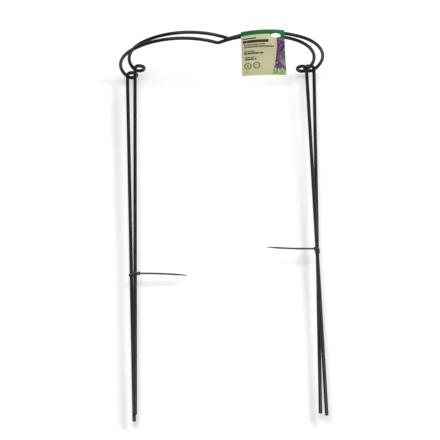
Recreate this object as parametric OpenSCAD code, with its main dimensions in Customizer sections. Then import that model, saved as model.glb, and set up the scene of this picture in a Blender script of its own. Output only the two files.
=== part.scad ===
// Tied pair of bow-topped plant support hoops: two bent coated rods, two cable ties, one folded card label.
// The legs run along Z and the bows reach forward, along -Y. The origin lies between the leg tips.

/* [Rod] */
// Diameter of the steel wire
wire_d = 6; // [5:0.1:6.2]
// Wall of the plastic coating
coating_t = 0.5; // [0.3:0.05:0.6]

/* [Hoop outline, seen from above] */
// Sideways place of each lobe's centre
lobe_x = 78; // [76:0.1:80]
// Forward place of each lobe's centre
lobe_forward = 0.6; // [-2:0.1:3]
// Radius of the two front lobes
lobe_r = 137.7; // [135:0.1:139]
// Sideways shift of both lobes and the V, because the bending isn't quite even
lobe_shift = 6; // [0:0.1:7]
// Radius of the outer shoulders, where the bow is widest
shoulder_r = 86; // [83:0.2:88]
// Radius of the small bend at the bottom of the V
dip_r = 8; // [6:0.5:14]
// Sideways place of each ring eye's centre
eye_x = 173.7; // [172:0.1:175]
// Radius of the ring eyes
eye_r = 10; // [9:0.25:11]
// Part of a turn at which the ring ends and the rod turns down
eye_end = 285; // [275:1:292]
// Radius of the bend from the ring into the leg
corner_r = 6; // [5:0.5:7]
// Height from the leg tips to the ring plane
leg_height = 761; // [600:1:900]
// Height of the worn round edge at each leg tip
tip_round = 1.3; // [0.6:0.1:1.6]

/* [How the two hoops lie together] */
// Sideways shift of the rear hoop
rear_x = -4.9; // [-7:0.1:-3]
// Fore and aft shift of the rear hoop
rear_y = -2.4; // [-3:0.1:0]
// Height of the rear hoop's ring plane
rear_z = 765.4; // [763:0.1:768]
// Sideways tilt of the rear hoop
rear_roll = 1.4; // [1.2:0.05:1.6]
// Twist of the rear hoop, its right side forward
rear_twist = -1.9; // [-2.3:0.05:-1.6]
// Angle by which the rear hoop's bow slopes up towards the front
rear_slope = 0.4; // [0.2:0.05:0.6]
// Sideways shift of the front hoop
front_x = 10.3; // [9:0.1:12]
// Fore and aft shift of the front hoop
front_y = -0.4; // [-1.5:0.1:1]
// Height of the front hoop's ring plane
front_z = 774.9; // [773:0.1:778]
// Sideways tilt of the front hoop
front_roll = 0.8; // [0.6:0.05:1]
// Twist of the front hoop, its left side forward
front_twist = 1.4; // [1.1:0.05:1.7]
// Angle by which the front hoop's bow slopes up towards the front
front_slope = 1.3; // [1.1:0.05:1.5]
// Outward spring of the rear hoop's left leg tip
rear_left_out = -7.6; // [-10:0.1:-5]
// Outward spring of the rear hoop's right leg tip
rear_right_out = 8.7; // [6:0.1:11]
// Outward spring of the front hoop's left leg tip
front_left_out = -1.6; // [-4:0.1:0]
// Outward spring of the front hoop's right leg tip
front_right_out = -11.5; // [-13:0.1:-9]

/* [Cable ties] */
// Width of the strap
strap_w = 3.6; // [2.5:0.1:4.8]
// Thickness of the strap
strap_t = 1.1; // [0.9:0.1:1.4]
// Slack between a strap and the rods
strap_slack = 0.7; // [0.6:0.05:0.9]
// Length of the free tail
tail_length = 95; // [60:1:140]
// Width of the strap at the tail's tip
tail_tip_w = 1.6; // [1.2:0.1:2.4]
// Length over which the tail narrows to its tip
tail_taper = 20; // [10:1:40]
// Radius of the tail's gentle curl
tail_curl_r = 420; // [300:10:900]
// Height of the left tie
left_tie_z = 307; // [250:1:400]
// Height of the right tie
right_tie_z = 357; // [340:1:380]

/* [Card label] */
// Width of the card, along the bow
label_w = 88; // [70:1:100]
// Height at which the card's bottom edge hangs
label_bottom = 680; // [640:1:700]
// Angle by which the card hangs askew, its right side up
label_tilt = 1.5; // [0:0.1:1.6]
// Thickness of the card
card_t = 0.5; // [0.4:0.05:0.8]
// Room between the folded card and the rods
fold_slack = 1.6; // [1.5:0.1:2.5]
// Height of the strip of glue between the flaps
glue_h = 12; // [8:1:20]

/* [Hidden] */
$fn = 48;

rod_d = wire_d + 2 * coating_t;
LEFT = -1;
RIGHT = 1;
// A hoop's lie: place of its ring plane, sideways tilt, twist, slope of the bow, and the outward spring of its
// left and right leg
REAR = [[rear_x, rear_y, rear_z], rear_roll, rear_twist, rear_slope, [rear_left_out, rear_right_out]];
FRONT = [[front_x, front_y, front_z], front_roll, front_twist, front_slope, [front_left_out, front_right_out]];

// ---- The hoop's outline: arcs that touch tangentially, in the ring plane, forward along -Y
eye_c = [eye_x, 0];
// Centre of a side's lobe; the shift takes it outwards on the right and inwards on the left
function lobe_at(side) = [lobe_x + side * lobe_shift, -lobe_forward];
// The shoulder's circle touches the lobe's and the eye's circles from inside and outside
lobe_to_shoulder = lobe_r - shoulder_r;
shoulder_to_eye = shoulder_r - eye_r;
function shoulder_at(lobe_c) =
    let (lobe_to_eye = norm(eye_c - lobe_c),
         along = (pow(lobe_to_shoulder, 2) - pow(shoulder_to_eye, 2) + pow(lobe_to_eye, 2)) / (2 * lobe_to_eye),
         across = sqrt(pow(lobe_to_shoulder, 2) - pow(along, 2)),
         to_eye = (eye_c - lobe_c) / lobe_to_eye)
    lobe_c + along * to_eye + across * [to_eye.y, -to_eye.x];
// The bend of the V lies between the lobes, on the line of the shift
dip_drop = sqrt(pow(lobe_r + dip_r, 2) - pow(lobe_x, 2));
dip_c = [lobe_shift, -lobe_forward - dip_drop];
// Angle at which each lobe hands over to the V
lobe_start = atan2(-dip_drop, -lobe_x);
ring_end = eye_c + eye_r * [cos(eye_end), sin(eye_end)];
leg_heading = eye_end - 270;

// Small angle by which a leg runs outwards
function leg_angle(out) = atan(out / leg_height);
// Point on a leg's axis in the hoop's own frame, run mm below the corner bend
function leg_point(side, out, run) =
    let (a = leg_angle(out), reach = corner_r * cos(a) + run * sin(a))
    [side * (ring_end.x + reach * cos(leg_heading)),
     ring_end.y + reach * sin(leg_heading),
     corner_r * (sin(a) - 1) - run * cos(a)];
// A vector of the hoop's own frame turned as the hoop lies, with its bow sloping up by an angle
function turned(lie, slope, p) =
    let (q = [p.x * cos(lie[2]) - p.y * sin(lie[2]), p.x * sin(lie[2]) + p.y * cos(lie[2]), p.z],
         s = [q.x, q.y * cos(slope) + q.z * sin(slope), q.z * cos(slope) - q.y * sin(slope)])
    [s.x * cos(lie[1]) - s.z * sin(lie[1]), s.y, s.x * sin(lie[1]) + s.z * cos(lie[1])];
// The place of a point of the bow where the hoop lies
function placed(lie, p) = lie[0] + turned(lie, lie[3], p);
// Where a leg's axis passes a height; the legs don't share the bow's slope
function leg_at(lie, side, z) =
    let (out = lie[4][side == LEFT ? 0 : 1],
         top = placed(lie, leg_point(side, out, 0)),
         run = turned(lie, 0, leg_point(side, out, leg_height) - leg_point(side, out, 0)),
         t = (z - top.z) / run.z)
    [for (i = [0, 1]) top[i] + t * run[i]];

// ---- Bent rods: arcs and legs, each stopping just short of the next, with a collar over every meeting
collar_l = 0.8;
collar_over = 0.1;
collar_gap = 0.1;

// Collar over the meeting at one angle of a bend
module collar(centre, r, angle, d) {
    translate([centre.x, centre.y, 0])
        rotate([0, 0, angle])
            translate([r, 0, 0])
                rotate([90, 0, 0]) cylinder(h = collar_l, d = d + collar_over, center = true);
}

// Bent length of rod round a centre, from one angle to another
module bend(centre, r, from, to, d) {
    short = collar_gap / r * 180 / PI;
    translate([centre.x, centre.y, 0])
        rotate([0, 0, from + short])
            rotate_extrude(angle = to - from - 2 * short, $fn = 96)
                translate([r, 0]) circle(d = d);
}

// Straight leg from the corner bend down, with a rounded tip
module leg(length, d, tip) {
    straight = length - tip;
    translate([0, 0, -straight]) cylinder(h = straight - collar_gap, d = d);
    translate([0, 0, -straight - tip * 0.45]) cylinder(h = tip * 0.45, d1 = d * 0.86, d2 = d);
    translate([0, 0, -straight - tip]) cylinder(h = tip * 0.55, d1 = d * 0.5, d2 = d * 0.86);
}

// One side of a hoop, drawn to the right: lobe, shoulder, ring eye, corner and leg. The leg is turned back by the
// bow's slope, about an axis given in the hoop's own frame
module half_hoop(side, lie, d, length, tip) {
    out = lie[4][side == LEFT ? 0 : 1];
    lobe_c = lobe_at(side);
    shoulder_c = shoulder_at(lobe_c);
    lobe_end = atan2(shoulder_c.y - lobe_c.y, shoulder_c.x - lobe_c.x);
    shoulder_end = atan2(eye_c.y - shoulder_c.y, eye_c.x - shoulder_c.x);
    collar(lobe_c, lobe_r, lobe_start, d);
    bend(lobe_c, lobe_r, lobe_start, lobe_end, d);
    collar(lobe_c, lobe_r, lobe_end, d);
    bend(shoulder_c, shoulder_r, lobe_end, shoulder_end, d);
    collar(shoulder_c, shoulder_r, shoulder_end, d);
    bend(eye_c, eye_r, shoulder_end, eye_end, d);
    collar(eye_c, eye_r, eye_end, d);
    a = leg_angle(out);
    translate([ring_end.x, ring_end.y, -corner_r])
        rotate([0, 0, leg_heading]) {
            rotate([90, 0, 0]) {
                bend([0, 0], corner_r, a, 90, d);
                collar([0, 0], corner_r, a, d);
            }
            translate([corner_r * cos(a), 0, corner_r * sin(a)])
                rotate([0, 0, -leg_heading])
                    rotate(a = lie[3], v = [cos(lie[2]), -side * sin(lie[2]), 0])
                        rotate([0, 0, leg_heading])
                            rotate([0, -a, 0]) leg(length - corner_r, d, tip);
        }
}

module hoop(lie, d, length, tip) {
    translate(lie[0])
        rotate([0, -lie[1], 0])
            rotate([-lie[3], 0, 0])
                rotate([0, 0, lie[2]]) {
                    bend(dip_c, dip_r, 180 + lobe_start, -lobe_start, d);
                    half_hoop(RIGHT, lie, d, length, tip);
                    mirror([1, 0, 0]) half_hoop(LEFT, lie, d, length, tip);
                }
}

module hoop_wire(lie) {
    hoop(lie, wire_d, leg_height - tip_round, 0.4);
}

module hoop_coating(lie) {
    difference() {
        hoop(lie, rod_d, leg_height, tip_round);
        hoop_wire(lie);
    }
}

// ---- Cable ties
head_l = 5.2;
head_w = 6.4;
head_h = 5.6;
head_round = 1.2;
head_sunk = 0.66;       // how far the head's inner face sinks into the strap

// Outline round two parallel rods
module race_track(p, q, r) {
    translate(p) circle(r);
    translate(q) circle(r);
    translate((p + q) / 2)
        rotate(atan2(q.y - p.y, q.x - p.x))
            square([norm(q - p), 2 * r], center = true);
}

module rounded_square(size, r) {
    square([size.x - 2 * r, size.y], center = true);
    square([size.x, size.y - 2 * r], center = true);
    for (sx = [-1, 1], sy = [-1, 1])
        translate([sx * (size.x / 2 - r), sy * (size.y / 2 - r)]) circle(r);
}

// Free end of the strap, along +X, curling gently towards curl (1 or -1) times Y
module tail(curl) {
    intersection() {
        translate([0, curl * tail_curl_r, 0])
            rotate([0, 0, curl > 0 ? -90 : 60])
                rotate_extrude(angle = 30, $fn = 192)
                    translate([tail_curl_r - strap_t / 2, -strap_w / 2])
                        square([strap_t, strap_w]);
        translate([0, tail_length, 0])
            rotate([90, 0, 0])
                linear_extrude(2 * tail_length)
                    polygon([[0, -strap_w / 2], [tail_length - tail_taper, -strap_w / 2],
                             [tail_length - tail_tip_w, -tail_tip_w / 2],
                             [tail_length, -tail_tip_w / 4], [tail_length, tail_tip_w / 4],
                             [tail_length - tail_tip_w, tail_tip_w / 2],
                             [tail_length - tail_taper, strap_w / 2], [0, strap_w / 2]]);
    }
}

// A tie round the rods at near and far. Its head sits on the near rod, at head_angle, and its tail leaves along
// tail_angle, rising by rise degrees
module cable_tie(near, far, z, head_angle, tail_angle, rise, curl) {
    inner = rod_d / 2 + strap_slack;
    outer = inner + strap_t;
    reach = outer + head_l / 2 - head_sunk;
    translate([0, 0, z]) {
        linear_extrude(strap_w, center = true)
            difference() {
                race_track(near, far, outer);
                race_track(near, far, inner);
            }
        translate([near.x + reach * cos(head_angle), near.y + reach * sin(head_angle), 0])
            rotate([0, 0, tail_angle]) {
                difference() {
                    linear_extrude(head_h, center = true) rounded_square([head_l, head_w], head_round);
                    rotate([0, 0, -tail_angle])
                        translate([-reach * cos(head_angle), -reach * sin(head_angle), 0])
                            cylinder(h = head_h + 1, r = inner + strap_t / 2, center = true);
                }
                rotate([0, -rise, 0]) tail(curl);
            }
    }
}

// ---- Card label, folded over both bows and curved with them
right_lobe = lobe_at(RIGHT);
front_lobe_c = placed(FRONT, [right_lobe.x, right_lobe.y, 0]);
rear_lobe_c = placed(REAR, [right_lobe.x, right_lobe.y, 0]);
front_crest = placed(FRONT, [right_lobe.x, right_lobe.y - lobe_r, 0]);
label_c = [(front_lobe_c.x + rear_lobe_c.x) / 2, (front_lobe_c.y + rear_lobe_c.y) / 2];
half_angle = asin(label_w / 2 / lobe_r);
lobe_split = norm([front_lobe_c.x - rear_lobe_c.x, front_lobe_c.y - rear_lobe_c.y]) / 2;
// The bows come closer together at the label than their centres do
split_trim = 2.6;
fold_reach = lobe_split - split_trim + rod_d / 2 + fold_slack;
fold_front = lobe_r + fold_reach;
fold_back = lobe_r - fold_reach;
fold_mid = (fold_front + fold_back) / 2;
fold_top = front_crest.z + rod_d / 2 + fold_slack;
fold_round = 6;
fold_low = rear_z - 14;
flaps_meet = fold_low - 28;
flap_gap = 0.3;

// Section of the fold, wall mm outside the inner face of the card, down to a height
module fold_section(wall, bottom) {
    r = fold_round + wall;
    left = fold_back - wall;
    right = fold_front + wall;
    shoulder = fold_top + wall - r;
    half_gap = flap_gap / 2 + wall;
    translate([left + r, shoulder - r]) square([right - left - 2 * r, 2 * r]);
    translate([left + r, shoulder]) circle(r);
    translate([right - r, shoulder]) circle(r);
    polygon([[left, shoulder], [left, fold_low], [fold_mid - half_gap, flaps_meet],
             [fold_mid - half_gap, bottom], [fold_mid + half_gap, bottom],
             [fold_mid + half_gap, flaps_meet], [right, fold_low], [right, shoulder]]);
}

// Sweeps a section round the lobes' middle, over the label's width, and hangs it askew about its crest
module round_the_bow() {
    translate([label_c.x, label_c.y, fold_top])
        rotate([0, -label_tilt, 0])
            translate([0, 0, -fold_top])
                rotate([0, 0, -90 - half_angle])
                    rotate_extrude(angle = 2 * half_angle, $fn = 192) children();
}

// ---- The pieces
module rear_hoop_wire() {
    color("silver") hoop_wire(REAR);
}

module rear_hoop_coating() {
    color([0.09, 0.09, 0.09]) hoop_coating(REAR);
}

module front_hoop_wire() {
    color("silver") hoop_wire(FRONT);
}

module front_hoop_coating() {
    color([0.12, 0.12, 0.11]) hoop_coating(FRONT);
}

module left_cable_tie() {
    color([0.05, 0.05, 0.05])
        cable_tie(leg_at(FRONT, LEFT, left_tie_z), leg_at(REAR, LEFT, left_tie_z), left_tie_z, -5, 0, 0.5, 1);
}

module right_cable_tie() {
    color([0.05, 0.05, 0.05])
        cable_tie(leg_at(REAR, RIGHT, right_tie_z), leg_at(FRONT, RIGHT, right_tie_z), right_tie_z, -125, 180, -1, 1);
}

module label_card() {
    color([0.72, 0.68, 0.5])
        round_the_bow()
            difference() {
                fold_section(card_t, label_bottom);
                fold_section(0, label_bottom - 1);
            }
}

module label_glue() {
    color([0.9, 0.88, 0.78])
        round_the_bow()
            translate([fold_mid - flap_gap / 2, flaps_meet - 4 - glue_h]) square([flap_gap, glue_h]);
}

rear_hoop_wire();
rear_hoop_coating();
front_hoop_wire();
front_hoop_coating();
left_cable_tie();
right_cable_tie();
label_card();
label_glue();
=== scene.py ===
import math

import bpy
from mathutils import Matrix, Vector


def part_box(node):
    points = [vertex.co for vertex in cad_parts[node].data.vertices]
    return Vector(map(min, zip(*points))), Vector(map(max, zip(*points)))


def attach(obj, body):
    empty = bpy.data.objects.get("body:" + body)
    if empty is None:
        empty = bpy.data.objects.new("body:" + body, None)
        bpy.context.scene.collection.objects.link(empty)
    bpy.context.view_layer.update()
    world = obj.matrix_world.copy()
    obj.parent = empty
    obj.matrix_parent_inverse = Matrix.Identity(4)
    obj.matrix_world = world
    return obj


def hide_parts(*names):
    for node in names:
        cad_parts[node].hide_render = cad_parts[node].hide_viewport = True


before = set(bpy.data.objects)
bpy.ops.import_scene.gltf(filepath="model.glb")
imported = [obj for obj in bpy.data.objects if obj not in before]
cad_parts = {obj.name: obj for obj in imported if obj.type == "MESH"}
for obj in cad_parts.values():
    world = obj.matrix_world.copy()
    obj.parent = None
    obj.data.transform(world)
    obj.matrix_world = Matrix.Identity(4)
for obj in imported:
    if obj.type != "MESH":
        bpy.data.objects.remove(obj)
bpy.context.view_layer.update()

MM = 0.001


# ---- Small helpers for numbers and meshes

def smooth(value, start, end):
    """0 before start, 1 after end, with an even slope between them."""
    t = min(1.0, max(0.0, (value - start) / (end - start)))
    return t * t * (3 - 2 * t)


def blend_numbers(a, b, t):
    return a + (b - a) * t


def new_mesh(name, points, faces, material=None, smooth_faces=True):
    """Object made of points in millimetres in the row frame."""
    mesh = bpy.data.meshes.new(name)
    mesh.from_pydata([tuple(c * MM for c in p) for p in points], [], faces)
    mesh.validate()
    mesh.update()
    obj = bpy.data.objects.new(name, mesh)
    bpy.context.scene.collection.objects.link(obj)
    if material is not None:
        mesh.materials.append(material)
    for polygon in mesh.polygons:
        polygon.use_smooth = smooth_faces
    return obj


def swept(rings, closed):
    """Faces that join equal rings of points, capped at both ends unless the sweep is closed."""
    count = len(rings[0])
    points = [p for ring in rings for p in ring]
    faces = []
    spans = len(rings) if closed else len(rings) - 1
    for i in range(spans):
        a = i * count
        b = (i + 1) % len(rings) * count
        for j in range(count):
            k = (j + 1) % count
            faces.append((a + j, a + k, b + k, b + j))
    if not closed:
        faces.append(tuple(reversed(range(count))))
        faces.append(tuple(range(len(points) - count, len(points))))
    return points, faces


def keep_sharp_edges(obj, angle):
    """Smooth shading that leaves edges sharper than angle crisp."""
    for edge in obj.data.edges:
        edge.use_edge_sharp = False
    obj.data.set_sharp_from_angle(angle=math.radians(angle))


# ---- Material nodes

class Nodes:
    """Short names for the nodes of one material."""

    def __init__(self, name):
        self.material = bpy.data.materials.new(name)
        self.material.use_nodes = True
        self.tree = self.material.node_tree
        self.shader = self.tree.nodes["Principled BSDF"]
        self.output = self.tree.nodes["Material Output"]

    def node(self, kind, **values):
        made = self.tree.nodes.new(kind)
        for key, value in values.items():
            setattr(made, key, value)
        return made

    def put(self, socket, value):
        if isinstance(value, bpy.types.NodeSocket):
            self.tree.links.new(value, socket)
        else:
            socket.default_value = value

    def reckon(self, operation, *values, clamp=False):
        """Result of one Math node."""
        made = self.node("ShaderNodeMath", operation=operation, use_clamp=clamp)
        for socket, value in zip(made.inputs, values):
            self.put(socket, value)
        return made.outputs[0]

    def object_place(self):
        """Place on the object, in metres. It goes with the piece when the piece moves."""
        return self.node("ShaderNodeTexCoord").outputs["Object"]

    def stretched(self, place, scale):
        made = self.node("ShaderNodeMapping")
        self.put(made.inputs["Vector"], place)
        made.inputs["Scale"].default_value = scale
        return made.outputs[0]

    def noise(self, place, scale, detail=3.0, roughness=0.55):
        made = self.node("ShaderNodeTexNoise")
        self.put(made.inputs["Vector"], place)
        made.inputs["Scale"].default_value = scale
        made.inputs["Detail"].default_value = detail
        made.inputs["Roughness"].default_value = roughness
        return made.outputs["Fac"]

    def cells(self, place, scale, feature="F1"):
        made = self.node("ShaderNodeTexVoronoi", feature=feature)
        self.put(made.inputs["Vector"], place)
        made.inputs["Scale"].default_value = scale
        return made.outputs["Distance"]

    def span(self, value, low, high, to_low=0.0, to_high=1.0):
        """value from low..high to to_low..to_high, held at the ends."""
        made = self.node("ShaderNodeMapRange", clamp=True)
        self.put(made.inputs["Value"], value)
        made.inputs["From Min"].default_value = low
        made.inputs["From Max"].default_value = high
        made.inputs["To Min"].default_value = to_low
        made.inputs["To Max"].default_value = to_high
        return made.outputs["Result"]

    def mixed(self, factor, a, b):
        made = self.node("ShaderNodeMix", data_type="RGBA")
        self.put(made.inputs["Factor"], factor)
        self.put(made.inputs["A"], a)
        self.put(made.inputs["B"], b)
        return made.outputs["Result"]

    def bump(self, height, distance, strength=1.0, below=None):
        made = self.node("ShaderNodeBump")
        self.put(made.inputs["Height"], height)
        made.inputs["Distance"].default_value = distance
        made.inputs["Strength"].default_value = strength
        if below is not None:
            self.put(made.inputs["Normal"], below)
        return made.outputs["Normal"]


def grey(value):
    return (value, value, value, 1)


# ---- Materials

COATING_DARK = (0.0040, 0.0040, 0.0036, 1)
COATING_WORN = (0.030, 0.029, 0.026, 1)
COATING_DUST = (0.085, 0.079, 0.066, 1)
COATING_IOR = 1.5
COATING_SPECULAR = 0.30
LEG_LINES_END = 0.745      # height at which the drawing lines of the legs give way to the bent bow
LEG_LINES_FADE = 0.012
SOIL_LINE = 0.012          # height of the scuffed tip of a leg
SOIL_LINE_LOW = 0.35       # part of that height at which the scuffing is full
DUST_COVER = 0.55          # how much of the skin's colour a speck of dust hides
GLOSS_LOSS_WORN = 0.14     # roughness that rubbing and dust add
GLOSS_LOSS_DUST = 0.18


def coating_material(name, shift, gloss):
    """Satin black plastic skin: lines along the legs, orange peel, rubbed patches and some dust.

    shift moves the pattern, so that the two hoops differ, and gloss is the roughness of a clean place.
    """
    m = Nodes(name)
    place = m.object_place()
    moved = m.node("ShaderNodeVectorMath", operation="ADD")
    m.put(moved.inputs[0], place)
    moved.inputs[1].default_value = (shift, shift * 0.7, shift * 0.3)
    spot = moved.outputs[0]
    height = m.node("ShaderNodeSeparateXYZ")
    m.put(height.inputs[0], place)
    z = height.outputs["Z"]
    on_leg = m.span(z, LEG_LINES_END, LEG_LINES_END - LEG_LINES_FADE)
    lines = m.noise(m.stretched(spot, (1, 1, 0.02)), 1500, 2.0)
    peel = m.noise(spot, 900, 3.0)
    waves = m.noise(spot, 95, 3.0)
    patches = m.noise(spot, 34, 4.0, 0.65)
    scratches = m.noise(m.stretched(spot, (1, 1, 0.14)), 620, 5.0, 0.7)
    specks = m.noise(spot, 2600, 2.0)
    rubbed = m.reckon("MULTIPLY", m.span(patches, 0.50, 0.66), m.span(scratches, 0.52, 0.66))
    tip = m.span(z, SOIL_LINE, SOIL_LINE * SOIL_LINE_LOW)
    worn = m.reckon("MAXIMUM", rubbed, m.reckon("MULTIPLY", tip, m.span(peel, 0.42, 0.6)))
    dust = m.reckon("MULTIPLY", m.span(specks, 0.62, 0.70), m.span(waves, 0.46, 0.62))
    colour = m.mixed(worn, COATING_DARK, COATING_WORN)
    colour = m.mixed(m.reckon("MULTIPLY", dust, DUST_COVER), colour, COATING_DUST)
    m.put(m.shader.inputs["Base Color"], colour)
    rough = m.span(patches, 0.34, 0.68, gloss - 0.05, gloss + 0.11)
    rough = m.reckon("ADD", rough, m.reckon("MULTIPLY", worn, GLOSS_LOSS_WORN))
    rough = m.reckon("ADD", rough, m.reckon("MULTIPLY", dust, GLOSS_LOSS_DUST), clamp=True)
    m.put(m.shader.inputs["Roughness"], rough)
    lined = m.reckon("MULTIPLY", lines, on_leg)
    normal = m.bump(lined, 0.00004)
    normal = m.bump(peel, 0.00005, below=normal)
    normal = m.bump(waves, 0.00035, 0.6, below=normal)
    normal = m.bump(m.reckon("MULTIPLY", worn, -1.0), 0.00003, below=normal)
    m.put(m.shader.inputs["Normal"], normal)
    m.shader.inputs["IOR"].default_value = COATING_IOR
    m.shader.inputs["Specular IOR Level"].default_value = COATING_SPECULAR
    return m.material


STEEL_DARK = (0.46, 0.46, 0.47, 1)
STEEL_LIGHT = (0.60, 0.59, 0.57, 1)


def wire_material():
    """Bright drawn steel: fine lines, small colour drift and pits."""
    m = Nodes("drawn_steel")
    place = m.object_place()
    lines = m.noise(m.stretched(place, (1, 1, 0.02)), 2200, 3.0)
    drift = m.noise(place, 55, 3.0)
    pits = m.cells(place, 1400)
    m.put(m.shader.inputs["Base Color"], m.mixed(m.span(drift, 0.3, 0.7), STEEL_DARK, STEEL_LIGHT))
    m.put(m.shader.inputs["Roughness"], m.span(lines, 0.3, 0.7, 0.24, 0.42))
    m.shader.inputs["Metallic"].default_value = 1.0
    m.put(m.shader.inputs["Normal"], m.bump(m.reckon("ADD", lines, pits), 0.00003))
    return m.material


NYLON_DARK = (0.0085, 0.0085, 0.0085, 1)
NYLON_CLOUD = (0.017, 0.0165, 0.016, 1)
NYLON_RUBBED = (0.06, 0.058, 0.055, 1)
NYLON_IOR = 1.53


def nylon_material():
    """Moulded black nylon: slightly glossy, with a fine grain and paler rubbed edges."""
    m = Nodes("black_nylon_moulded")
    place = m.object_place()
    grain = m.noise(place, 2600, 3.0)
    cloud = m.noise(place, 180, 3.0)
    rub = m.noise(m.stretched(place, (0.3, 1, 1)), 900, 4.0, 0.7)
    edges = m.node("ShaderNodeNewGeometry").outputs["Pointiness"]
    proud = m.reckon("MULTIPLY", m.span(edges, 0.52, 0.60), m.span(rub, 0.40, 0.62))
    colour = m.mixed(m.span(cloud, 0.35, 0.65), NYLON_DARK, NYLON_CLOUD)
    colour = m.mixed(m.reckon("MULTIPLY", proud, 0.7), colour, NYLON_RUBBED)
    m.put(m.shader.inputs["Base Color"], colour)
    m.put(m.shader.inputs["Roughness"], m.span(cloud, 0.3, 0.7, 0.27, 0.42))
    normal = m.bump(grain, 0.00003)
    m.put(m.shader.inputs["Normal"], m.bump(rub, 0.00004, 0.6, below=normal))
    m.shader.inputs["IOR"].default_value = NYLON_IOR
    return m.material


# Colours of the print
BOARD = (0.400, 0.388, 0.236, 1)
BOARD_WARM = (0.455, 0.405, 0.262, 1)
BOARD_OLIVE = (0.330, 0.345, 0.160, 1)
BOARD_SPECK = (0.165, 0.158, 0.072, 1)
BAND_GREEN = (0.0008, 0.110, 0.028, 1)
BAND_DEEP = (0.0005, 0.066, 0.018, 1)
INK = (0.016, 0.015, 0.005, 1)
INK_SOFT = (0.045, 0.042, 0.015, 1)
OVAL_WHITE = (0.86, 0.88, 0.84, 1)
OVAL_INK = (0.075, 0.068, 0.095, 1)
BARE_DARK = (0.60, 0.56, 0.42, 1)
BARE_LIGHT = (0.72, 0.68, 0.54, 1)
PETAL = (0.130, 0.040, 0.145, 1)
PETAL_PALE = (0.330, 0.165, 0.345, 1)
PETAL_DEEP = (0.022, 0.004, 0.030, 1)
SHADE_LEAF = (0.060, 0.085, 0.045, 1)
SHADE_GREY = (0.175, 0.195, 0.155, 1)
GRASS = (0.065, 0.180, 0.030, 1)
GRASS_PALE = (0.270, 0.370, 0.170, 1)

# The print's layout, in millimetres: x from the card's middle and y down from the fold.
# Broken bars in place of words: left end, right end, y and height, and how dark the ink is
HEADING_ROWS = ((-40.5, -13, 22.0, 4.4, 0.95), (-40.5, 11, 32.0, 8.4, 1.0))
TEXT_ROWS = ((-39.5, 4, 40.5, 2.8, 0.85), (-39.5, 21, 45.0, 2.8, 0.85), (-38.5, -17, 54.0, 2.6, 0.80),
             (-38.5, 0, 58.0, 3.2, 0.95), (-37.5, -16, 66.0, 2.6, 0.80), (-37.5, -14, 70.0, 3.2, 0.95))
SMALL_ROWS = ((-38, -29, 95.5, 1.4, 0.45), (-38, -30, 98.5, 1.4, 0.45), (-38, -31, 101.0, 1.4, 0.45))
RING_PLACES = ((-31.8, 85.0), (-14.2, 84.0))
RING_OUTER = 7.6
RING_INNER = 5.2
LEAF_HALF = (1.7, 3.4)
ARCH_DROP = 1.5            # the middle of the arch below the middle of its ring, its radii and its foot
ARCH_OUTER = 3.6
ARCH_INNER = 2.5
ARCH_FOOT = 2.2
MARK_INK = 0.85
STRIP_EDGE = 27.3          # left edge of the garden strip, and how it spreads towards the bottom
STRIP_SPREAD = 12.5
STRIP_FROM = 38.0
STRIP_TO = 107.0
STRIP_POWER = 1.7
FOOT_FROM = 98.0           # greenish foot of the board
FOOT_TO = 101.5
FOOT_TINT = 0.30
BAND_DEPTH = 12.0          # green band: deeper to the right, under the oval, and rising at its end
BAND_DEEPER = 10.0
BAND_DEEPER_FROM = 13.0
BAND_DEEPER_TO = 22.0
BAND_RISE = 3.0
BAND_RISE_FROM = 30.0
OVAL_PLACE = (26.0, 16.5)
OVAL_HALF = (10.0, 5.6)
HILL_PLACE = (26.0, 18.6)  # plain arc in the oval
HILL_HALF = (5.8, 3.6)
HILL_INNER = 0.62
HILL_FOOT = 18.2
HILL_INK = 0.8
CLUMP_PLACE = (40.5, 68.0)
CLUMP_HALF = (8.5, 17.0)
SPRIG_PLACE = (36.5, 20.0)
SPRIG_HALF = (9.0, 4.2)
TURF_FROM = 96.5
TURF_TO = 100.0
TURF_RAGGED = 12.0
BACK_ROWS = 8
BACK_ROW_FIRST = 30.0
BACK_ROW_STEP = 6.5
BACK_ROW_HALF = 36
BACK_FOOT = 97.0
CARD_IOR = 1.45
CARD_SPECULAR = 0.2


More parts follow.
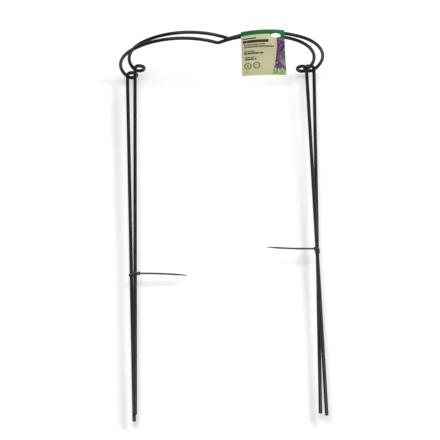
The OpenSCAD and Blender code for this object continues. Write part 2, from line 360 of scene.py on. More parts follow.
class Print(Nodes):
    """A printed face: masks drawn in millimetres, x across the card and y down from the fold."""

    def __init__(self, name):
        super().__init__(name)
        split = self.node("ShaderNodeSeparateXYZ")
        uv = self.node("ShaderNodeUVMap", uv_map="print")
        self.put(split.inputs[0], uv.outputs["UV"])
        self.flat = uv.outputs["UV"]
        self.x = self.reckon("MULTIPLY", split.outputs["X"], 1 / MM)
        self.y = self.reckon("MULTIPLY", split.outputs["Y"], 1 / MM)

    def bar(self, left, right, middle, height):
        across = self.reckon("COMPARE", self.x, (left + right) / 2, (right - left) / 2)
        down = self.reckon("COMPARE", self.y, middle, height / 2)
        return self.reckon("MULTIPLY", across, down)

    def far_from(self, x, y, wide=1.0, high=1.0):
        """Distance from a point, with the axes scaled so that an ellipse's edge lies at 1."""
        across = self.reckon("DIVIDE", self.reckon("SUBTRACT", self.x, x), wide)
        down = self.reckon("DIVIDE", self.reckon("SUBTRACT", self.y, y), high)
        squares = self.reckon("ADD", self.reckon("POWER", self.reckon("ABSOLUTE", across), 2.0),
                              self.reckon("POWER", self.reckon("ABSOLUTE", down), 2.0))
        return self.reckon("SQRT", squares)

    def inside(self, distance, edge):
        return self.span(distance, edge, edge * 0.95)

    def either(self, masks):
        total = masks[0]
        for mask in masks[1:]:
            total = self.reckon("MAXIMUM", total, mask)
        return total

    def minus(self, mask, cut):
        return self.reckon("MULTIPLY", mask, self.reckon("SUBTRACT", 1.0, cut))

    def broken_rows(self, rows, word, gap):
        """Rows broken into strokes of uneven length, so that they only hint at print."""
        stroke = self.noise(self.stretched(self.flat, (1, 0.06, 1)), word, 1.0)
        broken = self.span(stroke, gap - 0.015, gap + 0.015)
        masks = [self.reckon("MULTIPLY", self.bar(*row[:4]), row[4]) for row in rows]
        return self.reckon("MULTIPLY", self.either(masks), broken)

    def board(self):
        """Speckled recycled board, warm at the top and olive lower down."""
        cloud = self.noise(self.flat, 45, 4.0)
        fleck = self.noise(self.flat, 430, 4.0, 0.7)
        fibre = self.noise(self.stretched(self.flat, (1, 0.25, 1)), 900, 3.0)
        low = self.span(self.y, 15.0, 104.0)
        warm = self.mixed(self.span(cloud, 0.42, 0.72), BOARD, BOARD_WARM)
        colour = self.mixed(self.reckon("MULTIPLY", low, 0.42), warm, BOARD_OLIVE)
        specks = self.reckon("MULTIPLY", self.span(fleck, 0.56, 0.70), 0.55)
        colour = self.mixed(specks, colour, BOARD_SPECK)
        return self.mixed(self.reckon("MULTIPLY", self.span(fibre, 0.58, 0.75), 0.25), colour, BOARD_WARM)

    def garden(self):
        """Soft blur of purple blooms over leaves and grass, with no real picture behind it."""
        wavy = self.noise(self.flat, 60, 3.0)
        bloom = self.cells(self.flat, 105, feature="SMOOTH_F1")
        petal = self.cells(self.flat, 260)
        blades = self.noise(self.stretched(self.flat, (1, 0.22, 1)), 330, 3.0)
        colour = self.mixed(self.span(bloom, 0.20, 0.62), PETAL_PALE, PETAL)
        colour = self.mixed(self.span(petal, 0.30, 0.62), colour, PETAL_DEEP)
        colour = self.mixed(self.reckon("MULTIPLY", self.span(wavy, 0.42, 0.62), 0.55), colour, PETAL)
        clump = self.inside(self.far_from(*CLUMP_PLACE, *CLUMP_HALF), 1.0)
        leaves = self.mixed(self.span(wavy, 0.40, 0.60), SHADE_LEAF, SHADE_GREY)
        colour = self.mixed(self.reckon("MULTIPLY", clump, 0.9), colour, leaves)
        sprig = self.inside(self.far_from(*SPRIG_PLACE, *SPRIG_HALF), 1.0)
        colour = self.mixed(sprig, colour, self.mixed(self.span(blades, 0.42, 0.58), GRASS, BAND_DEEP))
        turf = self.mixed(self.span(blades, 0.40, 0.60), GRASS, GRASS_PALE)
        ragged = self.reckon("ADD", self.y, self.reckon("MULTIPLY", blades, TURF_RAGGED))
        return self.mixed(self.span(ragged, TURF_FROM, TURF_TO), colour, turf)

    def streaked(self, a, b):
        """One colour streaked with another along the card."""
        streak = self.noise(self.stretched(self.flat, (0.2, 1, 1)), 160, 3.0)
        return self.mixed(self.span(streak, 0.35, 0.68), a, b)

    def finish(self, colour, ink):
        """Sealed board: a soft sheen, a little less where it is printed, and fibres in relief."""
        self.put(self.shader.inputs["Base Color"], colour)
        fibre = self.noise(self.flat, 1500, 4.0, 0.65)
        wave = self.noise(self.flat, 70, 2.0)
        rough = self.span(fibre, 0.3, 0.7, 0.46, 0.62)
        rough = self.reckon("SUBTRACT", rough, self.reckon("MULTIPLY", ink, 0.08))
        self.put(self.shader.inputs["Roughness"], rough)
        normal = self.bump(fibre, 0.00004)
        normal = self.bump(wave, 0.0004, 0.5, below=normal)
        self.put(self.shader.inputs["Normal"], normal)
        self.shader.inputs["IOR"].default_value = CARD_IOR
        self.shader.inputs["Specular IOR Level"].default_value = CARD_SPECULAR
        return self.material


def ring_marks(m):
    """Two plain rings, with a leaf in one and an arch in the other."""
    marks = []
    for x, y in RING_PLACES:
        far = m.far_from(x, y)
        marks.append(m.minus(m.inside(far, RING_OUTER), m.inside(far, RING_INNER)))
    leaf_place, (arch_x, arch_y) = RING_PLACES
    marks.append(m.inside(m.far_from(*leaf_place, *LEAF_HALF), 1.0))
    arch = m.far_from(arch_x, arch_y + ARCH_DROP)
    bow = m.minus(m.inside(arch, ARCH_OUTER), m.inside(arch, ARCH_INNER))
    marks.append(m.reckon("MULTIPLY", bow, m.reckon("LESS_THAN", m.y, arch_y + ARCH_FOOT)))
    return m.reckon("MULTIPLY", m.either(marks), MARK_INK)


def garden_strip(m):
    """Mask of the garden strip, whose left edge curves outwards towards the bottom."""
    slant = m.reckon("POWER", m.span(m.y, STRIP_FROM, STRIP_TO), STRIP_POWER)
    edge = m.reckon("SUBTRACT", STRIP_EDGE, m.reckon("MULTIPLY", STRIP_SPREAD, slant))
    return m.reckon("GREATER_THAN", m.x, edge)


def front_band(m):
    """Mask of the green band at the fold."""
    deeper = m.reckon("MULTIPLY", BAND_DEEPER, m.span(m.x, BAND_DEEPER_FROM, BAND_DEEPER_TO))
    rise = m.reckon("MULTIPLY", BAND_RISE, m.span(m.x, BAND_RISE_FROM, CARD_HALF))
    depth = m.reckon("SUBTRACT", m.reckon("ADD", BAND_DEPTH, deeper), rise)
    return m.reckon("LESS_THAN", m.y, depth)


def front_print():
    """Front of the card: green band with a plain oval, board with broken bars and rings, garden strip."""
    m = Print("card_front_print")
    colour = m.board()
    bold = m.broken_rows(HEADING_ROWS, 210, 0.37)
    fine = m.broken_rows(TEXT_ROWS, 300, 0.38)
    colour = m.mixed(m.either([bold, fine]), colour, INK)
    colour = m.mixed(m.broken_rows(SMALL_ROWS, 600, 0.45), colour, INK_SOFT)
    colour = m.mixed(ring_marks(m), colour, INK_SOFT)
    strip = garden_strip(m)
    colour = m.mixed(strip, colour, m.garden())
    foot = m.reckon("MULTIPLY", m.span(m.y, FOOT_FROM, FOOT_TO), FOOT_TINT)
    colour = m.mixed(m.minus(foot, strip), colour, GRASS_PALE)
    band = front_band(m)
    colour = m.mixed(band, colour, m.streaked(BAND_GREEN, BAND_DEEP))
    oval = m.inside(m.far_from(*OVAL_PLACE, *OVAL_HALF), 1.0)
    colour = m.mixed(oval, colour, OVAL_WHITE)
    hill = m.far_from(*HILL_PLACE, *HILL_HALF)
    arc = m.minus(m.inside(hill, 1.0), m.inside(hill, HILL_INNER))
    arc = m.reckon("MULTIPLY", arc, m.reckon("LESS_THAN", m.y, HILL_FOOT))
    colour = m.mixed(m.reckon("MULTIPLY", arc, HILL_INK), colour, OVAL_INK)
    return m.finish(colour, band)


def back_print():
    """Back of the card, which the photograph doesn't show: the same board and band with broken bars."""
    m = Print("card_back_print")
    colour = m.board()
    rows = []
    for i in range(BACK_ROWS):
        end = BACK_ROW_HALF - (i * 17) % 23
        rows.append((-BACK_ROW_HALF, end, BACK_ROW_FIRST + i * BACK_ROW_STEP, 2.2, 0.6))
    colour = m.mixed(m.broken_rows(rows, 300, 0.42), colour, INK)
    band = m.reckon("LESS_THAN", m.y, BAND_DEPTH)
    colour = m.mixed(band, colour, m.streaked(BAND_GREEN, BAND_DEEP))
    foot = m.reckon("GREATER_THAN", m.y, BACK_FOOT)
    colour = m.mixed(foot, colour, m.streaked(GRASS, BAND_GREEN))
    return m.finish(colour, band)


def board_material():
    """Bare inside and cut edges of the card."""
    m = Print("card_bare_board")
    fibre = m.noise(m.stretched(m.flat, (1, 0.2, 1)), 700, 4.0)
    fleck = m.noise(m.flat, 380, 4.0, 0.7)
    colour = m.mixed(m.span(fibre, 0.35, 0.65), BARE_DARK, BARE_LIGHT)
    colour = m.mixed(m.reckon("MULTIPLY", m.span(fleck, 0.60, 0.72), 0.5), colour, BOARD_SPECK)
    return m.finish(colour, fleck)


GLUE_DARK = (0.66, 0.60, 0.42, 1)
GLUE_LIGHT = (0.82, 0.78, 0.64, 1)


def glue_material():
    """Dried glue: cream, cloudy, glossy in patches."""
    m = Nodes("dried_glue")
    place = m.object_place()
    cloud = m.noise(place, 240, 4.0)
    bubbles = m.cells(place, 900)
    m.put(m.shader.inputs["Base Color"], m.mixed(m.span(cloud, 0.35, 0.65), GLUE_DARK, GLUE_LIGHT))
    m.put(m.shader.inputs["Roughness"], m.span(cloud, 0.3, 0.7, 0.22, 0.5))
    m.put(m.shader.inputs["Normal"], m.bump(bubbles, 0.0001))
    m.shader.inputs["Subsurface Weight"].default_value = 0.15
    m.shader.inputs["Subsurface Scale"].default_value = 0.001
    return m.material


def one_sided(name, tone):
    """Pale stage surface with a barely visible mottle, seen only from the side that it faces."""
    m = Nodes(name)
    place = m.object_place()
    mottle = m.noise(place, 6, 3.0)
    darker = grey(tone - STAGE_MOTTLE)
    lighter = grey(tone + STAGE_MOTTLE)
    m.put(m.shader.inputs["Base Color"], m.mixed(mottle, darker, lighter))
    m.shader.inputs["Roughness"].default_value = 0.9
    m.shader.inputs["Specular IOR Level"].default_value = 0.1
    clear = m.node("ShaderNodeBsdfTransparent")
    choose = m.node("ShaderNodeMixShader")
    m.put(choose.inputs["Fac"], m.node("ShaderNodeNewGeometry").outputs["Backfacing"])
    m.put(choose.inputs[1], m.shader.outputs[0])
    m.put(choose.inputs[2], clear.outputs[0])
    m.put(m.output.inputs["Surface"], choose.outputs[0])
    return m.material


# ---- Camera, stage and light

LOOK_UP = 26.35            # degrees by which the camera looks up at the hoops from the feet side
TARGET = Vector((0.0013, -0.0811, 0.3899))
DISTANCE = 4.758
LENS = 200.7
SENSOR = 36
NEAR_CLIP = 0.1
FAR_CLIP = 50


def make_camera():
    angle = math.radians(LOOK_UP)
    ahead = Vector((0, math.cos(angle), math.sin(angle)))
    up = Vector((0, -math.sin(angle), math.cos(angle)))
    data = bpy.data.cameras.new("camera")
    data.sensor_width = SENSOR
    data.lens = LENS
    data.clip_start = NEAR_CLIP
    data.clip_end = FAR_CLIP
    camera = bpy.data.objects.new("camera", data)
    bpy.context.scene.collection.objects.link(camera)
    camera.location = TARGET - ahead * DISTANCE
    side = ahead.cross(up)
    turn = Matrix((side, up, -ahead)).transposed()
    camera.rotation_euler = turn.to_euler()
    bpy.context.scene.camera = camera


WALL_FOOT_Y = 0.0174       # the backdrop's place behind the leg tips
WALL_TOP_Y = 0.0330        # and behind the ring planes
HOOP_TOP = 0.761
WALL_HALF_WIDTH = 2.4
WALL_BELOW = 1.2
WALL_ABOVE = 2.4
FLOOR_HALF = 3.5
WALL_TONE = 0.86
FLOOR_TONE = 0.80
STAGE_MOTTLE = 0.01        # how far the stage's tone drifts either way


def stage_quad(name, corners, material):
    """Flat piece of the stage with its corners in metres."""
    obj = new_mesh(name, [tuple(c / MM for c in p) for p in corners], [(0, 1, 2, 3)], material, False)
    return obj


def make_stage():
    lean = (WALL_TOP_Y - WALL_FOOT_Y) / HOOP_TOP
    low_y = WALL_FOOT_Y - WALL_BELOW * lean
    high_y = WALL_FOOT_Y + WALL_ABOVE * lean
    w = WALL_HALF_WIDTH
    low = [(x, low_y, -WALL_BELOW) for x in (-w, w)]
    high = [(x, high_y, WALL_ABOVE) for x in (w, -w)]
    stage_quad("backdrop", low + high, one_sided("backdrop_paper", WALL_TONE))
    f = FLOOR_HALF
    ground = [(-f, -f, 0), (f, -f, 0), (f, f, 0), (-f, f, 0)]
    floor = stage_quad("floor", ground, one_sided("floor_paper", FLOOR_TONE))
    floor.visible_shadow = False
    floor.visible_diffuse = False
    floor.visible_glossy = False


WORLD_LIGHT = 0.36
WORLD_COLOUR = (1.0, 1.0, 0.995, 1)
BACKGROUND = 0.96          # what the camera sees past the stage
# Soft lights: direction from the hoops, distance, size and power
LIGHTS = {
    "key": (Vector((0.76, -1.0, 0.187)), 3.0, 0.90, 38.0),
    "front_soft": (Vector((-0.10, -1.0, 0.05)), 3.3, 1.5, 62.0),
    "top_soft": (Vector((0.25, -0.35, 1.0)), 2.8, 1.6, 30.0),
}


def area_light(name, place, aim, size, power):
    data = bpy.data.lights.new(name, "AREA")
    data.shape = "SQUARE"
    data.size = size
    data.energy = power
    light = bpy.data.objects.new(name, data)
    bpy.context.scene.collection.objects.link(light)
    light.location = place
    light.rotation_euler = (aim - place).to_track_quat("-Z", "Y").to_euler()
    light.visible_camera = False


def make_light():
    world = bpy.data.worlds.new("studio")
    world.use_nodes = True
    tree = world.node_tree
    room = tree.nodes["Background"]
    room.inputs["Color"].default_value = WORLD_COLOUR
    room.inputs["Strength"].default_value = WORLD_LIGHT
    seen = tree.nodes.new("ShaderNodeBackground")
    seen.inputs["Color"].default_value = WORLD_COLOUR
    seen.inputs["Strength"].default_value = BACKGROUND
    path = tree.nodes.new("ShaderNodeLightPath")
    choose = tree.nodes.new("ShaderNodeMixShader")
    tree.links.new(path.outputs["Is Camera Ray"], choose.inputs["Fac"])
    tree.links.new(room.outputs[0], choose.inputs[1])
    tree.links.new(seen.outputs[0], choose.inputs[2])
    tree.links.new(choose.outputs[0], tree.nodes["World Output"].inputs["Surface"])
    bpy.context.scene.world = world
    for name, (toward, distance, size, power) in LIGHTS.items():
        area_light(name, TARGET + toward.normalized() * distance, TARGET, size, power)
    bpy.context.scene.view_settings.view_transform = "Standard"
    bpy.context.scene.view_settings.look = "None"


# ---- The rods keep their CAD shape and get their finish

def finish_hoops():
    steel = wire_material()
    looks = {
        "rear_hoop_coating": coating_material("rear_coating_satin", shift=0.0, gloss=0.30),
        "front_hoop_coating": coating_material("front_coating_satin", shift=1.7, gloss=0.28),
        "rear_hoop_wire": steel,
        "front_hoop_wire": steel,
    }
    for node, material in looks.items():
        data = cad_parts[node].data
        data.materials.clear()
        data.materials.append(material)


def leg_axis(node, side, height):
    """Where the axis of a hoop's left (-1) or right (1) leg passes a height in metres.

    It comes from the CAD mesh, in millimetres.
    """
    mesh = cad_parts[node].data
    total = Vector((0, 0))
    count = 0
    for edge in mesh.edges:
        a, b = (mesh.vertices[i].co for i in edge.vertices)
        if a.x * side < 0 or (a.z - height) * (b.z - height) >= 0:
            continue
        t = (height - a.z) / (b.z - a.z)
        total += Vector((a.x + (b.x - a.x) * t, a.y + (b.y - a.y) * t))
        count += 1
    return total / count / MM


# ---- Cable ties, in millimetres

ROD_R = 3.5
STRAP_W = 3.6
STRAP_T = 1.1
STRAP_SLACK = 0.7
STRAP_EDGE = 0.3
TAIL_LENGTH = 95.0
TAIL_TIP_W = 1.6
TAIL_TAPER = 20.0
TAIL_CURL_R = 420.0
TAIL_STEP = 0.4
TOOTH_PITCH = 1.2
TOOTH_DEPTH = 0.26
TOOTH_LAND = 0.15          # part of that depth left between the teeth
TEETH_FADE_IN = (2.0, 4.0)       # from the head
TEETH_FADE_OUT = (14.0, 10.0)    # from the tip
RAIL_W = 0.55
RAIL_MIN_W = 0.25
RAIL_APART = 0.35          # least distance of a rail from the tail's middle
RAIL_SLOPE = 0.06
RAIL_EDGE = 0.6            # part of the strap's rounding that a rail's top edge has
HEAD_SIZE = Vector((5.2, 6.4, 5.6))
HEAD_ROUND = 1.2
HEAD_SUNK = 0.66
HEAD_CUTS = 16
SLOT_HALF = (1.05, 2.15)
SLOT_DEPTH = 1.3
SLOT_SKIN = 0.25           # how near the outer face a point has to be to go down with the slot
GROOVE_SKIN = 0.2
GROOVE_AT = 0.6
GROOVE_HALF = 0.3
GROOVE_PINCH = 0.96
TIE_CREASE = 38            # degrees from which an edge stays sharp


def strap_section(width, thick):
    """Strap section with cut corners: (across the width, through the thickness)."""
    w, t, e = width / 2, thick / 2, STRAP_EDGE
    near_side = [(-w, -t + e), (-w + e, -t), (w - e, -t), (w, -t + e)]
    return near_side + [(w, t - e), (w - e, t), (-w + e, t), (-w, t - e)]


def loop_path(near, far, radius, steps=40):
    """Closed path round two rods: two half circles joined by straight runs, with its outward direction."""
    along = (far - near).normalized()
    start = math.atan2(along.y, along.x)
    path = []
    for centre, first in ((near, start + math.pi / 2), (far, start - math.pi / 2)):
        for i in range(steps + 1):
            a = first + math.pi * i / steps
            out = Vector((math.cos(a), math.sin(a)))
            path.append((centre + out * radius, out))
    return path


def tie_loop(near, far, z):
    rings = []
    for point, out in loop_path(near, far, ROD_R + STRAP_SLACK + STRAP_T / 2):
        section = strap_section(STRAP_W, STRAP_T)
        rings.append([(point.x + out.x * t, point.y + out.y * t, z + w) for w, t in section])
    return swept(rings, True)


def tail_width(run):
    """Width of the tail at a distance from the head: even, then tapered, with a rounded tip."""
    left = TAIL_LENGTH - run
    if left <= TAIL_TIP_W:
        return (TAIL_TIP_W + left) / 2
    narrowed = min(1.0, max(0.0, (TAIL_TAPER - left) / (TAIL_TAPER - TAIL_TIP_W)))
    return blend_numbers(STRAP_W, TAIL_TIP_W, narrowed)


def tail_section(run, width):
    """Section of the tail at a distance from the head: rails at both edges, with teeth between them."""
    w, t, e = width / 2, STRAP_T / 2, STRAP_EDGE
    phase = run / TOOTH_PITCH % 1.0
    fade_out = [TAIL_LENGTH - left for left in TEETH_FADE_OUT]
    toothed = smooth(run, *TEETH_FADE_IN) * (1 - smooth(run, *fade_out))
    dip = TOOTH_DEPTH * (1.0 if phase < 0.5 else TOOTH_LAND) * toothed
    rail = w - max(RAIL_MIN_W, min(RAIL_W, w - RAIL_APART))
    foot = rail - RAIL_SLOPE
    top = w - e * RAIL_EDGE
    return [(-w, -t + e), (-w + e, -t), (w - e, -t), (w, -t + e), (w, t - e), (top, t), (rail, t),
            (foot, t - dip), (-foot, t - dip), (-rail, t), (-top, t), (-w, t - e)]


def tail_mesh(curl):
    """Tail along +X from the head's middle, curling towards curl times Y, in its own frame."""
    rings = []
    steps = int(TAIL_LENGTH / TAIL_STEP)
    for i in range(steps + 1):
        run = TAIL_LENGTH * i / steps
        a = run / TAIL_CURL_R
        x = TAIL_CURL_R * math.sin(a)
        y = curl * TAIL_CURL_R * (1 - math.cos(a))
        out = Vector((-math.sin(a) * curl, math.cos(a))) * curl
        rings.append([(x + out.x * t, y + out.y * t, w) for w, t in tail_section(run, tail_width(run))])
    return swept(rings, False)


def rounded_block(size, radius, cuts):
    """Closed block with rounded edges, as a grid on each of its six faces."""
    index = {}
    points = []
    faces = []

    def corner(p):
        """Number of the rounded block's point for a point of the cube from -1 to 1."""
        key = tuple(round(c, 6) for c in p)
        if key not in index:
            half = size / 2
            full = Vector([p[i] * half[i] for i in range(3)])
            inner = Vector([max(radius - half[i], min(half[i] - radius, full[i])) for i in range(3)])
            away = full - inner
            points.append(inner + away.normalized() * radius if away.length > 1e-9 else full)
            index[key] = len(points) - 1
        return index[key]

    for axis in range(3):
        for sign in (-1, 1):
            for i in range(cuts):
                for j in range(cuts):
                    ring = []
                    for di, dj in ((0, 0), (1, 0), (1, 1), (0, 1)):
                        p = [0.0, 0.0, 0.0]
                        p[axis] = float(sign)
                        p[(axis + 1) % 3] = -1 + 2 * (i + di) / cuts
                        p[(axis + 2) % 3] = -1 + 2 * (j + dj) / cuts
                        ring.append(corner(p))
                    faces.append(tuple(ring if sign > 0 else reversed(ring)))
    return points, faces


def tie_head():
    """Locking head: a rounded block with the slot that the tail leaves by, and a groove round it."""
    points, faces = rounded_block(HEAD_SIZE, HEAD_ROUND, HEAD_CUTS)
    for p in points:
        outer_face = p.x > HEAD_SIZE.x / 2 - SLOT_SKIN
        if outer_face and abs(p.y) < SLOT_HALF[0] and abs(p.z) < SLOT_HALF[1]:
            p.x -= SLOT_DEPTH
        side_face = abs(p.y) > HEAD_SIZE.y / 2 - GROOVE_SKIN or abs(p.z) > HEAD_SIZE.z / 2 - GROOVE_SKIN
        if side_face and abs(p.x - GROOVE_AT) < GROOVE_HALF:
            p.y *= GROOVE_PINCH
            p.z *= GROOVE_PINCH
    return points, faces


def cable_tie(name, body, near, far, height, head_angle, tail_angle, rise, curl, nylon):
    """One tie round the rods at near and far, with its head on the near rod.

    The angles are in degrees, seen from above. The tail rises by rise degrees and curls to one side, 1 or -1.
    """
    z = height / MM
    points, faces = tie_loop(near, far, z)
    inner = ROD_R + STRAP_SLACK
    reach = inner + STRAP_T + HEAD_SIZE.x / 2 - HEAD_SUNK
    a = math.radians(head_angle)
    head_place = Vector((near.x + reach * math.cos(a), near.y + reach * math.sin(a), z))
    turn = Matrix.Rotation(math.radians(tail_angle), 4, "Z")
    lift = Matrix.Rotation(-math.radians(rise), 4, "Y")
    head_points, head_faces = tie_head()
    tail_points, tail_faces = tail_mesh(curl)
    parts = ((head_points, head_faces, turn), (tail_points, tail_faces, turn @ lift))
    for new_points, new_faces, move in parts:
        first = len(points)
        for p in new_points:
            q = head_place + move @ Vector(p)
            gap = Vector((q.x - near.x, q.y - near.y))
            keep_off = inner + STRAP_T / 2
            if gap.length < keep_off:
                gap = gap.normalized() * keep_off
                q = Vector((near.x + gap.x, near.y + gap.y, q.z))
            points.append(tuple(q))
        faces.extend(tuple(i + first for i in face) for face in new_faces)
    tie = new_mesh(name, points, faces, nylon)
    keep_sharp_edges(tie, TIE_CREASE)
    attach(tie, body)
    return tie


LEFT_TIE_Z = 0.307
RIGHT_TIE_Z = 0.357
LEFT, RIGHT = -1, 1


def make_ties():
    nylon = nylon_material()
    near = leg_axis("front_hoop_coating", LEFT, LEFT_TIE_Z)
    far = leg_axis("rear_hoop_coating", LEFT, LEFT_TIE_Z)
    left = cable_tie("left_tie_detailed", "left_tie", near, far, LEFT_TIE_Z,
                     head_angle=-5, tail_angle=0, rise=0.5, curl=1, nylon=nylon)
    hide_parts("left_cable_tie")
    near = leg_axis("rear_hoop_coating", RIGHT, RIGHT_TIE_Z)
    far = leg_axis("front_hoop_coating", RIGHT, RIGHT_TIE_Z)
    right = cable_tie("right_tie_detailed", "right_tie", near, far, RIGHT_TIE_Z,
                      head_angle=-125, tail_angle=180, rise=-1, curl=1, nylon=nylon)
    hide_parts("right_cable_tie")


# ---- Card label, in millimetres. The fold follows the bows and the flaps flatten as they hang

CARD_T = 0.5
CARD_HALF = 44.0
FLAP_MID_R = 137.7         # radius of the surface midway between the flaps
FOLD_HALF = 11.12          # half of the fold's width, to the middle of the card
FOLD_ROUND = 6.25
CAD_HALF_ANGLE = 18.64     # half of the arc that the CAD label spans, in degrees
CAD_TILT = 1.5             # degrees by which the CAD label hangs askew
CARD_TILT = 1.8            # and this card, within the room that it has over the bows
FLAP_GAP_HALF = 0.42       # from that surface to the middle of each flap where they meet
DRAW_IN_TOP = 755.0        # heights between which the flaps draw together
DRAW_IN_LOW = 714.0
FLATTEN_TOP = 748.0        # heights between which the card's curve flattens
FLATTEN_LOW = 676.0
FLATTEN_PART = 0.62
FLATTEN_BACK = 2.2         # how far the middle of the flattened card draws back
CARD_ASIDE = -1.4          # this card hangs a little to the left of the CAD label
CARD_SHORT = 0.9           # and its cut edge ends a little higher
SLUMP_LEFT = 8.5           # how far the front of the fold drops towards the lower rod, at the left end
SLUMP_RIGHT = 5.0          # and at the right end
SLUMP_FROM = -3.0          # where across the fold the drop begins
SLUMP_LOW = 742.0          # heights between which it fades in
SLUMP_HIGH = 777.0
ACROSS = 44                # steps across the card, up a flap, and round a corner of the fold
FLAP_STEPS = 46
CORNER_STEPS = 9
FLAT_STEPS = (0.66, 0.33, 0.0)
PRINT_ABOVE = 6            # the print's y starts this far above the shoulder of the fold
CARD_CREASE = 40           # degrees from which an edge stays sharp
FRONT, BACK, BARE = 0, 1, 2


def card_frame():
    """Centre of the label's arcs, and the heights of its crest and bottom edge, from its CAD box."""
    low, high = (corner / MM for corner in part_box("label_card"))
    outside = FLAP_MID_R + FOLD_HALF + CARD_T / 2
    half_width = outside * math.sin(math.radians(CAD_HALF_ANGLE))
    drop = half_width * math.sin(math.radians(CAD_TILT))
    centre = Vector((low.x + half_width + CARD_ASIDE, low.y + outside))
    return centre, high.z - drop, low.z + drop + CARD_SHORT


def hung_askew(point, centre, crest):
    """A point of the card turned about the middle of its crest."""
    a = math.radians(CARD_TILT)
    x = point.x - centre.x
    z = point.z - crest
    new_x = centre.x + x * math.cos(a) - z * math.sin(a)
    new_z = crest + x * math.sin(a) + z * math.cos(a)
    return Vector((new_x, point.y, new_z))


def flap_side(z):
    """How far each flap lies from the middle surface at a height."""
    return blend_numbers(FLAP_GAP_HALF, FOLD_HALF, smooth(z, DRAW_IN_LOW, DRAW_IN_TOP))


def fold_outline(top, bottom):
    """Middle line of the folded card, from the front's bottom to the back's bottom.

    Each point is (signed distance from the middle surface, height).
    """
    crest = top - CARD_T / 2
    shoulder = crest - FOLD_ROUND
    heights = [blend_numbers(bottom, shoulder, i / FLAP_STEPS) for i in range(FLAP_STEPS + 1)]
    half = [(flap_side(z), z) for z in heights]
    for i in range(1, CORNER_STEPS + 1):
        a = math.pi / 2 * i / CORNER_STEPS
        half.append((FOLD_HALF - FOLD_ROUND * (1 - math.cos(a)), shoulder + FOLD_ROUND * math.sin(a)))
    half += [((FOLD_HALF - FOLD_ROUND) * t, crest) for t in FLAT_STEPS]
    return half + [(-r, z) for r, z in reversed(half[:-1])]


def slumped(offset, z, s):
    """Height of a point of the card once the front of its fold lies towards the lower rod."""
    depth = blend_numbers(SLUMP_LEFT, SLUMP_RIGHT, (s + CARD_HALF) / (2 * CARD_HALF))
    across = min(1.0, max(0.0, (offset - SLUMP_FROM) / (FOLD_HALF - SLUMP_FROM)))
    return z - depth * across * smooth(z, SLUMP_LOW, SLUMP_HIGH)


def on_card(centre, offset, z, s):
    """Point of the card s across from its middle, offset from the middle surface, at a height."""
    flat = smooth(z, FLATTEN_TOP, FLATTEN_LOW) if z < FLATTEN_TOP else 0.0
    r = FLAP_MID_R + offset
    bend = (1 - FLATTEN_PART * flat) / r
    forward = r - FLATTEN_BACK * flat - (1 - math.cos(s * bend)) / bend
    return Vector((centre.x + math.sin(s * bend) / bend, centre.y - forward, z))


def card_surface(centre, outline, thick):
    """Grid of points thick outside the middle line, row by row, with the print's coordinates of each row."""
    rows = []
    runs = []
    run = 0.0
    for i, (offset, z) in enumerate(outline):
        before = Vector(outline[max(0, i - 1)])
        after = Vector(outline[min(len(outline) - 1, i + 1)])
        along = (after - before).normalized()
        out = Vector((along.y, -along.x))
        if i:
            run += (Vector(outline[i]) - Vector(outline[i - 1])).length
        runs.append(run)
        moved = Vector((offset, z)) + out * thick
        places = [-CARD_HALF + 2 * CARD_HALF * j / ACROSS for j in range(ACROSS + 1)]
        rows.append([on_card(centre, moved.x, slumped(moved.x, moved.y, s), s) for s in places])
    return rows, runs


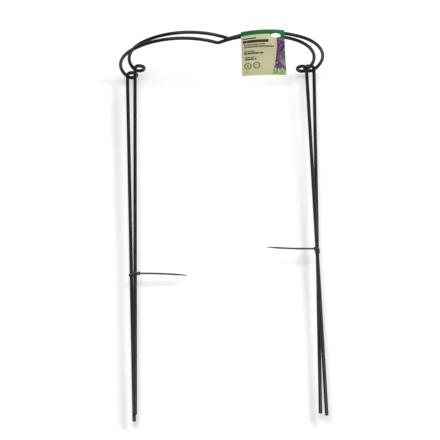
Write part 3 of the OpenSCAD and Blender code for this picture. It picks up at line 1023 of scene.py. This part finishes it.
def make_card():
    centre, top, bottom = card_frame()
    outline = fold_outline(top, bottom)
    outer, runs = card_surface(centre, outline, CARD_T / 2)
    inner, _ = card_surface(centre, outline, -CARD_T / 2)
    count = ACROSS + 1
    rows = len(outline)
    points = [hung_askew(p, centre, top) for row in outer + inner for p in row]
    faces = []
    kinds = []
    middle = rows // 2
    for i in range(rows - 1):
        for j in range(ACROSS):
            a = i * count + j
            quad = (a, a + 1, a + count + 1, a + count)
            faces.append(quad)
            kinds.append(FRONT if i < middle else BACK)
            faces.append(tuple(rows * count + k for k in reversed(quad)))
            kinds.append(BARE)
    rim = [(0, j) for j in range(count)] + [(i, ACROSS) for i in range(1, rows)]
    rim += [(rows - 1, j) for j in range(ACROSS - 1, -1, -1)] + [(i, 0) for i in range(rows - 2, 0, -1)]
    for k, (i, j) in enumerate(rim):
        n, m = rim[(k + 1) % len(rim)]
        a, b = i * count + j, n * count + m
        faces.append((b, a, a + rows * count, b + rows * count))
        kinds.append(BARE)
    card = new_mesh("folded_card", [tuple(p) for p in points], faces)
    for material in (front_print(), back_print(), board_material()):
        card.data.materials.append(material)
    shoulder_run = next(r for r, (_, z) in zip(runs, outline) if z >= top - FOLD_ROUND)
    whole = runs[-1]
    layer = card.data.uv_layers.new(name="print")
    for polygon, kind in zip(card.data.polygons, kinds):
        polygon.material_index = kind
        for loop in polygon.loop_indices:
            v = card.data.loops[loop].vertex_index % (rows * count)
            s = -CARD_HALF + 2 * CARD_HALF * (v % count) / ACROSS
            run = runs[v // count]
            x, y = s, shoulder_run + PRINT_ABOVE - run
            if kind == BACK:
                x, y = -s, run - (whole - shoulder_run - PRINT_ABOVE)
            layer.data[loop].uv = (x * MM, y * MM)
    keep_sharp_edges(card, CARD_CREASE)
    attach(card, "label")
    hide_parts("label_card")
    card.visible_shadow = False


GLUE_LOW, GLUE_HIGH = 707.0, 718.5
GLUE_HALF_W = 40.0
GLUE_STEPS = 60
GLUE_THICK = 0.11
GLUE_SIDES = 12
GLUE_END = 1.5             # the strip's rounded ends: how blunt they are, and over what length they narrow
GLUE_NARROWS = 4
GLUE_WANDER = 0.6          # how far its middle and its edges wander, and how fast
GLUE_WANDER_RATE = 0.31
GLUE_RAGGED = 0.9
GLUE_RAGGED_RATE = 0.53
GLUE_INSET = 1.1


def make_glue():
    """Smeared strip of glue between the flaps, with an uneven outline."""
    centre, crest, _ = card_frame()
    rings = []
    for i in range(GLUE_STEPS + 1):
        s = blend_numbers(-GLUE_HALF_W, GLUE_HALF_W, i / GLUE_STEPS)
        end = min(1.0, (GLUE_HALF_W + GLUE_END - abs(s)) / GLUE_NARROWS)
        middle = (GLUE_LOW + GLUE_HIGH) / 2 + GLUE_WANDER * math.sin(s * GLUE_WANDER_RATE)
        ragged = GLUE_RAGGED * math.sin(s * GLUE_RAGGED_RATE + 1.0)
        half = ((GLUE_HIGH - GLUE_LOW) / 2 - GLUE_INSET + ragged) * end
        ring = []
        for k in range(GLUE_SIDES):
            a = 2 * math.pi * k / GLUE_SIDES
            point = on_card(centre, GLUE_THICK * math.sin(a), middle + half * math.cos(a), s)
            ring.append(tuple(hung_askew(point, centre, crest)))
        rings.append(ring)
    points, faces = swept(rings, False)
    glue = new_mesh("glue_strip", points, faces, glue_material())
    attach(glue, "label")
    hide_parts("label_glue")


make_camera()
make_stage()
make_light()
finish_hoops()
make_ties()
make_card()
make_glue()
